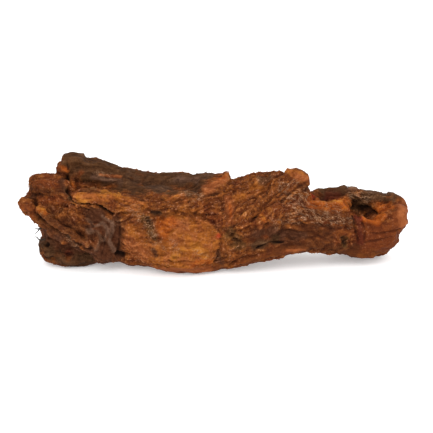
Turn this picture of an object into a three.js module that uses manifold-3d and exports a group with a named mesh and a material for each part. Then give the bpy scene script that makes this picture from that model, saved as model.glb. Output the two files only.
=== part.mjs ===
// A piece of driftwood: the stump of an old root, worn by water and lying on its side.
// It grew as one piece, so it is one solid. Fused root strands make its bulk, hollows are cut out of
// them where the wood has rotted away, and its feet are worn flat where it stands.
// Millimetres. +X along the root from the broken butt to the worn tip, -Y to the front, +Z up.
// The origin is on the surface it stands on, in the middle of its length and depth.

import * as THREE from "three";
import { mergeVertices } from "three/addons/utils/BufferGeometryUtils.js";
import Module from "manifold-3d";

const LENGTH = 280; // the whole piece, butt to tip
const SIDES = 14; // sides of a strand's section
const RING_STEP = 9; // about how far apart a strand's sections are
const CAP_RINGS = 3; // sections in each rounded end
const GNARL = 0.07; // how far a strand's section wanders from an ellipse, as a share of its radius
const FOOT_WEAR = 2; // how much is worn off the lowest point to make the feet flat
const WOOD = { color: 0x7a4422, roughness: 0.75, metalness: 0 };

// Each strand is a list of points along its middle, [x, y, z, radius]. flat is its depth (front to
// back) as a share of its height, and boxy is how far its section fills out towards a box: 2 is an
// ellipse.
const STRANDS = {
  heartwood: {
    flat: 1.05,
    boxy: 2.7,
    points: [
      [-106, 6, 37, 20],
      [-82, 5, 36, 25],
      [-46, 2, 36, 27],
      [-10, 1, 34, 27],
      [26, 3, 37, 22],
      [62, 7, 38, 19],
      [95, 10, 32, 17],
      [119, 12, 32, 15],
    ],
  },
  crest: {
    flat: 0.9,
    boxy: 2.4,
    points: [
      [-99, 13, 70, 14],
      [-85, 15, 66, 14],
      [-66, 15, 61, 12],
      [-46, 14, 59, 11],
      [-21, 10, 61, 10],
      [0, 6, 63, 9],
      [16, 4, 61, 6],
    ],
  },
  tenon: {
    flat: 1,
    boxy: 2.3,
    points: [
      [-97, -19, 61, 5.5],
      [-85, -20, 61, 6.5],
      [-66, -19, 58, 6.5],
      [-46, -16, 55, 7],
      [-16, -10, 51, 4],
    ],
  },
  upper_lobe: {
    flat: 1.4,
    boxy: 2.4,
    points: [
      [-124, 2, 65, 7],
      [-118, 0, 63, 9],
      [-104, 0, 60, 10],
    ],
  },
  nose: {
    flat: 1.2,
    boxy: 2,
    points: [
      [-128, -6, 53, 7],
      [-122, -8, 50, 9],
      [-108, -6, 46, 12],
    ],
  },
  swirl: {
    flat: 0.8,
    boxy: 2,
    points: [
      [-124, -13, 51, 7],
      [-113, -18, 43, 9.5],
      [-99, -20, 36, 11],
      [-82, -18, 31, 12],
    ],
  },
  fill: {
    flat: 0.9,
    boxy: 2.4,
    points: [
      [-99, -13, 49, 9],
      [-74, -15, 45, 11],
      [-45, -14, 43, 11],
      [-18, -10, 43, 8],
    ],
  },
  foot: {
    flat: 1.5,
    boxy: 2.2,
    points: [
      [-114, 3, 19, 11],
      [-103, 4, 17, 12],
      [-90, 4, 18, 12],
    ],
  },
  bark_slab: {
    flat: 0.8,
    boxy: 2.4,
    points: [
      [-78, -19, 43, 10],
      [-76, -18, 24, 10.5],
    ],
  },
  belly: {
    flat: 1,
    boxy: 2,
    points: [
      [-56, -13, 30, 14],
      [-35, -13, 27, 21],
      [-13, -13, 25, 20.5],
      [3, -12, 24, 17],
    ],
  },
  middle_band: {
    flat: 1,
    boxy: 2.4,
    points: [
      [-62, -13, 53, 9],
      [-39, -13, 54, 10],
      [-13, -11, 56, 10.5],
      [12, -7, 57, 10.5],
      [32, -2, 57, 6],
    ],
  },
  top_lump: {
    flat: 1.2,
    boxy: 2,
    points: [
      [-6, -2, 66, 7],
      [6, -2, 68, 6.5],
    ],
  },
  knob_root: {
    flat: 0.85,
    boxy: 2.2,
    points: [
      [8, -12, 27, 18],
      [24, -12, 37, 19],
      [40, -10, 49, 17],
      [52, -7, 62, 12],
      [58, -4, 69, 9],
    ],
  },
  shoulder: {
    flat: 1.3,
    boxy: 2.3,
    points: [
      [20, 4, 60, 10],
      [42, 4, 64, 10],
    ],
  },
  lower_band: {
    flat: 1.2,
    boxy: 2.2,
    points: [
      [12, -12, 19, 12],
      [32, -12, 22, 10],
      [59, -9, 27, 9.5],
      [86, -4, 25, 9.5],
      [100, 3, 24, 6],
    ],
  },
  slope: {
    flat: 0.9,
    boxy: 2.2,
    points: [
      [50, -8, 46, 14],
      [75, -5, 41, 12],
      [93, -1, 37, 10],
      [106, 3, 33, 6],
    ],
  },
  back_ridge: {
    flat: 1,
    boxy: 2.3,
    points: [
      [62, 12, 50, 5],
      [76, 14, 52, 6.5],
      [95, 16, 52, 7],
      [115, 16, 49, 7.5],
      [126, 13, 45, 8.5],
    ],
  },
  tip_block: {
    flat: 1.1,
    boxy: 2.4,
    points: [
      [99, 4, 24, 12],
      [114, 4, 26, 14.5],
      [125, 4, 36, 13.5],
    ],
  },
  tip_foot: {
    flat: 1.3,
    boxy: 2.2,
    points: [
      [86, 14, 22, 7],
      [100, 19, 15, 10],
      [117, 17, 17, 11],
    ],
  },
  back_rib: {
    flat: 0.8,
    boxy: 2.2,
    points: [
      [-108, 14, 46, 6],
      [-98, 20, 44, 12],
      [-60, 23, 38, 17],
      [-10, 21, 32, 18],
      [40, 20, 36, 14],
      [80, 18, 34, 11],
      [106, 15, 32, 6],
    ],
  },
  back_foot: {
    flat: 1.2,
    boxy: 2.2,
    points: [
      [-100, 14, 18, 11],
      [-75, 18, 19, 13],
      [-40, 17, 21, 14],
      [0, 14, 22, 12],
      [24, 12, 26, 6],
    ],
  },
};

// Hollows are strands too, and are cut away.
const HOLLOWS = {
  plum_hollow: {
    flat: 0.8,
    boxy: 2,
    points: [
      [82, 0, 56, 4],
      [94, 0, 55, 6],
    ],
  },
  tip_hollow: {
    flat: 1,
    boxy: 2,
    points: [
      [96, 2, 52, 6],
      [103, 2, 46, 7],
      [108, 4, 40, 6],
    ],
  },
  butt_hole: {
    flat: 3,
    boxy: 2,
    points: [
      [-104, -18, 58, 2],
      [-104, -16, 53, 3],
    ],
  },
};

const wasm = await Module();
wasm.setup();

/** A closed surface through rings of points, with a pole at each end. */
function loft(rings, firstPole, lastPole) {
  const sides = rings[0].length;
  const index = [];
  rings.slice(1).forEach((_, r) => {
    for (let i = 0; i < sides; i++) {
      const a = r * sides + i;
      const b = r * sides + ((i + 1) % sides);
      index.push(a, b, b + sides, a, b + sides, a + sides);
    }
  });
  const first = rings.length * sides;
  const lastRing = first - sides;
  for (let i = 0; i < sides; i++) {
    const next = (i + 1) % sides;
    index.push(first, next, i, first + 1, lastRing + i, lastRing + next);
  }
  const geometry = new THREE.BufferGeometry();
  geometry.setFromPoints([...rings.flat(), firstPole, lastPole]);
  geometry.setIndex(index);
  return geometry;
}

/** The radius of a section at an angle, filled out from a circle towards a box. */
function filledOut(angle, boxy) {
  return (Math.abs(Math.cos(angle)) ** boxy + Math.abs(Math.sin(angle)) ** boxy) ** (-1 / boxy);
}

/** How much thicker or thinner a gnarled strand is at an angle round it and a distance along it. */
function gnarled(angle, along, seed) {
  const slow = Math.sin(2 * angle + along / 31 + seed);
  const quick = Math.sin(3 * angle - along / 17 + 2.3 * seed);
  const wave = Math.sin(along / 11 + 1.7 * seed);
  return 1 + GNARL * (0.8 * slow + 0.6 * quick + 0.5 * wave);
}

/** One root strand: a tube of changing thickness along a smooth line, with round ends. */
function strandGeometry({ points, flat, boxy }, seed) {
  const line = new THREE.CatmullRomCurve3(points.map(([x, y, z]) => new THREE.Vector3(x, y, z)));
  const radii = new THREE.CatmullRomCurve3(points.map((p) => new THREE.Vector3(p[3], 0, 0)));
  const steps = Math.max(2, Math.round(line.getLength() / RING_STEP));
  const stations = [];
  const cap = (t, sign) => {
    const turns = Array.from({ length: CAP_RINGS }, (_, k) => ((k + 1) / (CAP_RINGS + 1)) * (Math.PI / 2));
    return turns.map((turn) => ({ t, size: Math.sin(turn), beyond: sign * Math.cos(turn) }));
  };
  stations.push(...cap(0, -1));
  for (let i = 0; i <= steps; i++) stations.push({ t: i / steps, size: 1, beyond: 0 });
  stations.push(...cap(1, 1).reverse());

  const up = new THREE.Vector3(0, 0, 1);
  const place = ({ t, beyond }) => {
    const tangent = line.getTangent(t);
    const side = new THREE.Vector3().crossVectors(up, tangent);
    if (side.length() < 0.3) side.set(0, 1, 0);
    side.normalize();
    const top = new THREE.Vector3().crossVectors(tangent, side);
    const radius = radii.getPoint(t).x;
    const middle = line.getPoint(t).addScaledVector(tangent, beyond * radius);
    return { side, top, radius, middle };
  };
  const rings = stations.map((station) => {
    const { side, top, radius, middle } = place(station);
    return Array.from({ length: SIDES }, (_, i) => {
      const angle = (i / SIDES) * 2 * Math.PI;
      const r = radius * station.size * filledOut(angle, boxy) * gnarled(angle, middle.x, seed);
      return middle
        .clone()
        .addScaledVector(side, r * flat * Math.cos(angle))
        .addScaledVector(top, r * Math.sin(angle));
    });
  });
  return loft(rings, place({ t: 0, beyond: -1 }).middle, place({ t: 1, beyond: 1 }).middle);
}

/** A three.js geometry as a solid that can be joined and cut. */
function solidOf(geometry) {
  const bare = geometry.clone();
  bare.deleteAttribute("normal");
  bare.deleteAttribute("uv");
  const merged = mergeVertices(bare);
  return new wasm.Manifold(
    new wasm.Mesh({
      numProp: 3,
      vertProperties: new Float32Array(merged.attributes.position.array),
      triVerts: new Uint32Array(merged.index.array),
    }),
  );
}

/** The solid's surface as a three.js geometry. */
function geometryOf(solid) {
  const { vertProperties, triVerts } = solid.getMesh();
  const geometry = new THREE.BufferGeometry();
  geometry.setAttribute("position", new THREE.BufferAttribute(vertProperties, 3));
  geometry.setIndex(new THREE.BufferAttribute(triVerts, 1));
  return geometry;
}

/** Everything below a height, as a block to cut away. */
function groundBelow(height) {
  const side = 2 * LENGTH;
  const block = new THREE.BoxGeometry(side, side, side);
  block.translate(0, 0, height - side / 2);
  return solidOf(block);
}

function driftwoodGeometry() {
  const join = (a, b) => a.add(b);
  const cut = (a, b) => a.subtract(b);
  const solids = (table) => Object.values(table).map((strand, i) => solidOf(strandGeometry(strand, i)));
  const rough = solids(HOLLOWS).reduce(cut, solids(STRANDS).reduce(join));
  const floor = rough.boundingBox().min[2] + FOOT_WEAR;
  const geometry = geometryOf(rough.subtract(groundBelow(floor)));
  geometry.computeBoundingBox();
  const { min, max } = geometry.boundingBox;
  geometry.translate(-(min.x + max.x) / 2, -(min.y + max.y) / 2, -min.z);
  const scale = LENGTH / (max.x - min.x);
  geometry.scale(scale, scale, scale);
  geometry.computeVertexNormals();
  return geometry;
}

const driftwood = new THREE.Mesh(driftwoodGeometry(), new THREE.MeshStandardMaterial(WOOD));
driftwood.name = "driftwood";

const part = new THREE.Group();
part.add(driftwood);

export default part;
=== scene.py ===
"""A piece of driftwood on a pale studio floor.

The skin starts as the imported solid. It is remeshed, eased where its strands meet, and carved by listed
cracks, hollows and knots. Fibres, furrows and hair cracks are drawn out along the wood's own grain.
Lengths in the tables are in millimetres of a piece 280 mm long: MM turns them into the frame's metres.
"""

import math

import bmesh
import bpy
import numpy as np
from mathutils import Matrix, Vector
from mathutils.kdtree import KDTree


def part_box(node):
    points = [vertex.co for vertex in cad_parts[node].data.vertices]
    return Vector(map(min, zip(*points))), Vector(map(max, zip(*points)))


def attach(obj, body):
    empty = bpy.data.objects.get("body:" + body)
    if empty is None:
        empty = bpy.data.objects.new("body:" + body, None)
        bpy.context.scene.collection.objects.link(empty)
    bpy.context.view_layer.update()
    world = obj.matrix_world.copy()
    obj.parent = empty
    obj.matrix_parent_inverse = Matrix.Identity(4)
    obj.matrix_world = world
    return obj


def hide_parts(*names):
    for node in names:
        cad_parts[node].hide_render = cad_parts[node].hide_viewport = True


NODE = "driftwood"
LENGTH = 280

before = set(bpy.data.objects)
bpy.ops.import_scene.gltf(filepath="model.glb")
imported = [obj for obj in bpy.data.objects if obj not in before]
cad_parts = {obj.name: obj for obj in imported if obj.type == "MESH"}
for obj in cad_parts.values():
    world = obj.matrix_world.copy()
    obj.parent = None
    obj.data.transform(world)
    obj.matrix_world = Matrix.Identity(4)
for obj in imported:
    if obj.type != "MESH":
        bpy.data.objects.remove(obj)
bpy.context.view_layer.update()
box_low, box_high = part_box(NODE)
MM = (box_high.x - box_low.x) / LENGTH

SEED = 7
COARSE_VOXEL = 1.85
FOOT_ROUNDING = 1.5
UNDERSIDE = 9  # below this height the wood is worn smooth
EASE_ROUNDS = 5
SETTLING = 0.8  # how far the skin sits back, so that its roughness doesn't swell the wood

# How far each kind of roughness stands out of the skin.
FIBRE = 0.24
CRUMB = 0.34
FLAKE = 0.25
PLATE = 0.72
FURROW = 0.2
RIDGE = 0.28
CRACK = 0.7
WEAR = 0.8  # how much of the roughness the water has taken where it has worn most

# Lines that more than one table follows, as points x, y, z.
NOSE_TIP = [(-135, -14, 49)]
RED_RIDGE = [(-124, -13, 54), (-114, -14, 52), (-107, -17, 50), (-100, -23, 50)]
SLAB_LOOP = [(-92, -27, 42), (-86, -28, 37), (-80, -28, 40), (-76, -27, 34), (-79, -27, 27)]
SLAB_STRAND = [(-80, -27, 44), (-74, -26, 40), (-73, -25, 34), (-76, -26, 26), (-72, -25, 18)]
SLAB_FOLD = [(-90, -28, 34), (-84, -27, 34), (-81, -27, 29), (-85, -25, 21)]
FLANGE = [(20, -27, 9), (32, -25, 13), (41, -24, 16), (52, -22, 18), (63, -20, 18)]
LIP = [(105, -6, 36), (113, -5, 35), (119, -8, 38)]
DISH = [(78, 10, 51), (84, 10, 51), (90, 10, 51)]
BROW_PIT = [(-46, -24, 46), (-40, -24, 46)]
FOOT_KNOT = [(-106, -15, 12)]

# The grain follows these lines. Each has the width that it rules, then its points, x, y, z.
GRAIN_LINES = {
    "nose_sweep": (8, [(-137, -13, 54), (-126, -15, 50), (-113, -22, 44), (-103, -24, 39), (-84, -28, 33)]),
    "upper_sweep": (7, [(-125, -12, 58), (-115, -13, 52), (-103, -22, 48), (-90, -25, 42), (-79, -28, 36)]),
    "lobe": (7, [(-134, -4, 60), (-122, -10, 64), (-108, -12, 62)]),
    "tenon": (6, [(-103, -24, 59), (-88, -26, 59), (-71, -26, 56), (-61, -25, 53), (-40, -22, 52)]),
    "crest": (12, [(-108, 4, 72), (-91, 5, 72), (-70, 10, 66), (-41, 10, 62), (-12, 3, 64), (12, 0, 64)]),
    "slab": (8, [(-84, -24, 52), (-79, -28, 40), (-82, -27, 26), (-78, -20, 10)]),
    "foot": (10, [(-124, -8, 20), (-108, -15, 17), (-92, -18, 13)]),
    "belly": (14, [(-66, -26, 28), (-45, -34, 21), (-22, -37, 18), (0, -30, 16), (18, -27, 13)]),
    "belly_top": (9, [(-64, -24, 42), (-40, -27, 44), (-20, -27, 42), (0, -25, 36), (10, -26, 28)]),
    "middle": (9, [(-60, -24, 50), (-30, -23, 54), (0, -19, 55), (25, -14, 59)]),
    "knob_root": (
        11,
        [(4, -28, 18), (20, -28, 32), (34, -26, 42), (42, -23, 51), (50, -20, 58), (60, -12, 66)],
    ),
    "knob_back": (9, [(10, -24, 42), (22, -16, 52), (32, -9, 60), (44, -3, 68)]),
    "slope": (9, [(50, -20, 58), (60, -17, 49), (74, -15, 42), (92, -10, 34)]),
    "under_band": (
        9,
        [(14, -28, 10), (30, -26, 18), (45, -23, 22), (60, -20, 23), (78, -17, 21), (95, -10, 22)],
    ),
    "tip": (10, [(97, -8, 26), (112, -12, 24), (132, -9, 28)]),
    "back_ridge": (8, [(66, 17, 52), (93, 17, 53), (115, 13, 50), (132, 10, 44)]),
    "back_root": (
        18,
        [(-108, 28, 42), (-60, 36, 38), (-10, 35, 31), (40, 32, 37), (80, 28, 34), (115, 22, 30)],
    ),
    "back_heel": (12, [(-104, 20, 14), (-60, 28, 16), (-10, 25, 18), (30, 18, 26)]),
}
GRAIN_ALONG = (1, 0, 0.04)

# Knots turn the grain round them. Each has its middle, its radius and how deep its heart is.
KNOTS = {
    "foot_knot": (FOOT_KNOT[0], 5.0, 2.4),
    "back_knot": ((-38, 35, 40), 8.0, 4.0),
    "back_tip_knot": ((72, 28, 38), 5.0, 2.5),
}

# Swellings stand proud of the wood, and dents lie below it: a reach, a height, then points x, y, z.
SWELLINGS = {
    "nose": (5.6, 2.2, NOSE_TIP),
    "nose_step": (4.0, -1.6, [(-137, -8, 57), (-133, -10, 55)]),
    "red_ridge": (3.2, 1.2, RED_RIDGE),
    "yellow_rib": (3.6, 1.4, [(-127, -19, 49), (-122, -21, 47), (-117, -24, 43)]),
    "sweep_ridge": (3.0, 1.8, [(-121, -25, 44), (-111, -29, 37), (-101, -30, 30), (-92, -28, 24)]),
    "sweep_strand": (2.4, 1.4, [(-118, -20, 50), (-108, -25, 46), (-98, -28, 40), (-91, -29, 33)]),
    "foot_shelf": (4.5, -2.6, [(-122, -23, 34), (-114, -26, 29), (-106, -27, 24)]),
    "crest_corner": (5.0, 2.4, [(-107, 9, 77), (-99, 9, 79)]),
    "crest_lumps": (6.0, 1.2, [(-84, 4, 67), (-66, 4, 64)]),
    "block": (4.5, 2.2, [(-113, 4, 71), (-108, 2, 71)]),
    "tenon": (5.0, 1.8, [(-94, -26, 58), (-84, -27, 58), (-72, -26, 56), (-62, -25, 54)]),
    "foot_sole": (7, 2.2, [(-114, -11, 3), (-98, -14, 3), (-88, -16, 4)]),
    "foot_corner": (6.5, 1.8, [(-126, -10, 15), (-124, -10, 7)]),
    "foot_waist": (6.0, -2.4, [(-128, -8, 30), (-128, -9, 23)]),
    "slab_loop": (2.2, 1.3, SLAB_LOOP),
    "slab_strand": (2.2, 1.3, SLAB_STRAND),
    "slab_fold": (2.2, 1.1, SLAB_FOLD),
    "arch": (8.5, 1.2, [(-78, -21, 5), (-64, -23, 5)]),
    "keel": (8.0, 0.9, [(-62, -25, 6), (-54, -25, 4), (-30, -28, 2), (-5, -26, 3)]),
    "belly": (19, 1.8, [(-22, -31, 33), (-13, -31, 29)]),
    "belly_low": (9, 0.8, [(-40, -34, 15), (-16, -35, 15)]),
    "lump": (4.6, 2.0, [(-8, -15, 60), (-1, -12, 62), (6, -7, 67)]),
    "middle_slab": (4, 1.0, [(-36, -18, 59), (-19, -19, 60)]),
    "middle_flakes": (3.4, 1.0, [(-58, -25, 49), (-46, -23, 52), (-30, -22, 52), (-14, -21, 53)]),
    "slat_a": (2.4, 1.0, [(2, -21, 44), (14, -20, 48), (26, -15, 53), (36, -10, 60)]),
    "slat_b": (2.4, 1.0, [(8, -25, 38), (21, -20, 46), (30, -17, 53), (42, -11, 62)]),
    "slat_c": (3.0, 1.8, [(30, -26, 38), (36, -25, 44), (43, -22, 52), (50, -19, 58), (59, -15, 62)]),
    "shoulder_bump": (6, 1.6, [(28, 0, 68)]),
    "knob": (7.5, 1.4, [(56, -11, 67), (60, -11, 65)]),
    "knob_root": (6.0, 1.6, [(42, -7, 67), (48, -8, 68)]),
    "knob_lip": (4.0, 1.2, [(62, -9, 65)]),
    "knob_shoulder": (6.0, 0.9, [(36, -7, 67), (43, -8, 69)]),
    "knob_neck": (4.6, 3.4, [(62, -3, 56), (66, 2, 53)]),
    "flange": (3.2, 1.6, FLANGE),
    "band": (7, 1.0, [(30, -28, 33), (44, -24, 31), (58, -20, 28)]),
    "dish_rim": (3.0, 1.6, [(70, 15, 54), (82, 18, 54), (92, 18, 53)]),
    "rim": (3.4, 0.8, [(73, -3, 48), (79, -7, 46), (88, -6, 45), (96, 3, 45)]),
    "rim_inner": (4.6, 2.6, [(84, 5, 47), (89, 3, 46), (95, 6, 44)]),
    "knob_corner": (4.4, -1.5, [(68, -10, 70)]),
    "hump": (4.0, 1.2, [(93, 17, 53), (99, 16, 53)]),
    "fin": (2.4, 1.0, [(101, -6, 38), (103, -8, 30), (103, -11, 20)]),
    "lip": (2.8, 1.4, LIP),
    "tip_cheek": (9, 1.2, [(132, -6, 38)]),
    "tip_top": (7, 2.6, [(130, 10, 47), (135, 6, 43)]),
    "tip_heel": (8, -1.0, [(76, -8, 6), (84, -9, 4)]),
    "tip_sole": (7, 1.8, [(90, -8, 4), (100, -9, 4), (110, -9, 4)]),
    "tip_toe": (7, -0.6, [(112, -10, 4), (120, -8, 7), (129, -6, 13)]),
    "tip_corner": (8, -3.4, [(137, -5, 23)]),
    "back_burl": (16, 3.0, [(-38, 36, 42)]),
    "back_bulge": (14, 2.2, [(40, 30, 36), (60, 28, 34)]),
    "back_strand": (4.0, 1.6, [(-96, 32, 30), (-70, 34, 26), (-44, 33, 29), (-18, 33, 24), (8, 29, 27)]),
    "back_strand_high": (4.5, 1.6, [(-80, 26, 58), (-50, 30, 54), (-20, 28, 54), (14, 24, 56)]),
    "back_scar": (9.0, -2.2, [(-84, 34, 38), (-72, 36, 36)]),
    "back_dent": (8.0, -1.8, [(12, 33, 38), (24, 32, 40)]),
}

# Cracks and clefts have a width, a depth and how much painted shade blackens them, then points x, y, z.
CLEFTS = {
    "lobe_cleft": (1.1, 3.4, 1.0, [(-107, 1, 66), (-105, -3, 64), (-101, -6, 60)]),
    "block_crack": (0.8, 1.2, 0.6, [(-106, 5, 74), (-106, 1, 70)]),
    "block_foot": (1.4, 1.4, 0.5, [(-114, 2, 68), (-108, 0, 67)]),
    "tenon_crack": (
        1.4, 3.6, 1.0,
        [(-102, -25, 54), (-96, -26, 53), (-90, -27, 53), (-85, -28, 53), (-73, -25, 45)],
    ),
    "tenon_line": (0.8, 0.9, 0.4, [(-93, -27, 57), (-80, -27, 58), (-66, -26, 55), (-52, -24, 51)]),
    "tenon_top": (1.2, 1.4, 0.4, [(-98, -22, 62), (-86, -23, 61), (-72, -22, 60), (-60, -21, 58)]),
    "nose_groove": (1.4, 2.2, 0.5, [(-130, -11, 54), (-127, -18, 50), (-129, -21, 45)]),
    "lobe_foot": (1.2, 1.6, 0.5, [(-131, -9, 56), (-124, -12, 56), (-113, -13, 54)]),
    "sweep_cleft": (2.8, 7, 1.0, [(-129, -21, 43), (-121, -25, 38), (-114, -28, 33), (-106, -29, 28)]),
    "sweep_tail": (1.8, 2.4, 0.6, [(-106, -29, 28), (-98, -29, 24), (-90, -27, 20)]),
    "swirl_line": (1.2, 1.8, 0.5, [(-120, -21, 47), (-110, -26, 42), (-100, -29, 36), (-93, -29, 29)]),
    "swirl_top": (1.2, 1.6, 0.5, [(-112, -16, 52), (-104, -22, 49), (-94, -26, 44), (-87, -28, 37)]),
    "slab_cleft": (0.9, 1.6, 0.5, [(-70, -25, 44), (-68, -25, 37), (-69, -25, 28), (-70, -24, 17)]),
    "slab_split": (1.0, 1.0, 0.4, [(-89, -28, 40), (-83, -28, 40), (-78, -28, 37), (-77, -26, 30)]),
    "slab_split_low": (1.0, 1.0, 0.4, [(-82, -28, 34), (-78, -27, 24), (-82, -24, 15)]),
    "crest_step": (
        2.0, 1.4, 0.25,
        [(-98, -3, 62), (-80, -3, 60), (-58, -6, 59), (-40, -10, 58), (-16, -12, 60)],
    ),
    "crest_scratch": (1.0, 0.9, 0.3, [(-89, 3, 66), (-80, 4, 64), (-68, 5, 63)]),
    "belly_brow": (
        1.8, 1.4, 0.3,
        [(-47, -25, 39), (-38, -24, 43), (-27, -23, 46), (-12, -24, 44), (-2, -26, 39)],
    ),
    "belly_side": (1.8, 1.6, 0.35, [(-2, -26, 39), (3, -27, 31), (3, -30, 22), (-1, -29, 11)]),
    "lump_notch": (1.8, 1.8, 0.3, [(11, -8, 68), (12, -11, 63), (13, -15, 58)]),
    "lump_under": (1.4, 1.6, 0.5, [(-9, -19, 57), (-2, -18, 58), (9, -14, 60)]),
    "slat_gap_a": (1.1, 1.4, 0.4, [(16, -23, 44), (23, -21, 49), (29, -14, 55), (36, -9, 62), (43, -5, 67)]),
    "slat_gap_b": (
        1.3, 1.5, 0.35,
        [(24, -26, 40), (29, -25, 46), (36, -21, 54), (44, -16, 62), (52, -13, 67)],
    ),
    "slat_gap_c": (1.4, 1.6, 0.4, [(46, -20, 54), (53, -18, 60), (58, -16, 63), (62, -13, 65)]),
    "band_edge": (2.2, 1.4, 0.3, [(20, -29, 34), (32, -27, 38), (44, -24, 36), (60, -20, 34)]),
    "band_crack": (
        0.7, 1.8, 0.8,
        [(26, -26, 19), (32, -25, 22), (36, -24, 24), (42, -22, 24), (47, -22, 24)],
    ),
    "band_lines": (1.1, 0.9, 0.3, [(44, -24, 27), (58, -21, 25), (72, -18, 27)]),
    "slope_shade": (2.2, 1.0, 0.3, [(60, -20, 35), (74, -17, 33), (88, -13, 31), (96, -10, 29)]),
    "knob_crevice": (1.4, 1.8, 0.6, [(67, -3, 58), (68, 0, 52), (70, 2, 49)]),
    "fin_left": (1.0, 1.2, 0.5, [(98, -8, 38), (99, -9, 30), (101, -11, 21)]),
    "fin_right": (1.0, 1.0, 0.4, [(104, -7, 35), (106, -9, 28), (105, -11, 22)]),
    "tip_crack": (0.9, 1.2, 0.4, [(107, -11, 28), (116, -13, 27), (124, -13, 28), (132, -10, 28)]),
    "tip_notch": (1.4, 2.2, 0.5, [(131, -10, 28), (139, -4, 28)]),
    "tip_line": (1.0, 1.1, 0.4, [(106, -12, 20), (116, -13, 22), (125, -12, 24)]),
    "back_split": (1.8, 4.0, 0.9, [(-92, 33, 45), (-66, 37, 44), (-52, 37, 40), (-34, 36, 51), (-6, 34, 44)]),
    "back_split_far": (1.5, 3.0, 0.8, [(4, 33, 46), (22, 31, 48), (44, 28, 47)]),
    "back_crack": (1.3, 3.0, 0.8, [(-66, 31, 21), (-40, 33, 23), (-16, 32, 19), (6, 28, 22)]),
    "heel_crack": (1.3, 2.6, 0.9, [(52, 28, 31), (80, 27, 27), (104, 26, 28)]),
    "back_tip_crack": (1.2, 2.4, 0.8, [(88, 24, 44), (104, 22, 42), (122, 18, 38)]),
}

# Rotted hollows have a radius, a depth and how much painted shade blackens them, then points x, y, z.
HOLLOWS = {
    "plum_hollow": (5.4, 5.0, 0.3, DISH),
    "tip_tunnel": (5.4, 5.0, 0.3, [(101, 9, 43), (105, 8, 40), (109, 6, 38)]),
    "tip_mouth": (3.2, 2.5, 0.55, [(105, 9, 38), (109, 8, 36), (112, 5, 36)]),
    "butt_hole": (3.6, 5, 1.0, [(-103, -14, 59), (-103, -17, 56), (-102, -20, 52)]),
    "tenon_end": (1.8, 2, 1.0, [(-104, -23, 61), (-104, -25, 54)]),
    "foot_pit": (2.0, 2.5, 0.9, [(-122, -12, 18)]),
    "slab_foot_pit": (2.4, 4, 1.0, [(-70, -23, 14), (-67, -22, 12)]),
    "slope_pit": (2.4, 2.6, 0.6, [(91, -13, 23), (93, -12, 19)]),
    "belly_pits": (1.8, 0.8, 0.1, [(-49, -26, 42), (-46, -28, 36)]),
    "brow_pit": (1.6, 1.4, 0.6, BROW_PIT),
    "moss_pit": (3.0, 1.6, 0.3, [(11, -27, 30), (14, -27, 25)]),
    "back_pit": (2.6, 3.5, 0.9, [(-100, 27, 52), (-96, 28, 50)]),
    "back_far_pit": (2.2, 3.0, 0.9, [(96, 24, 33)]),
}
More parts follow.
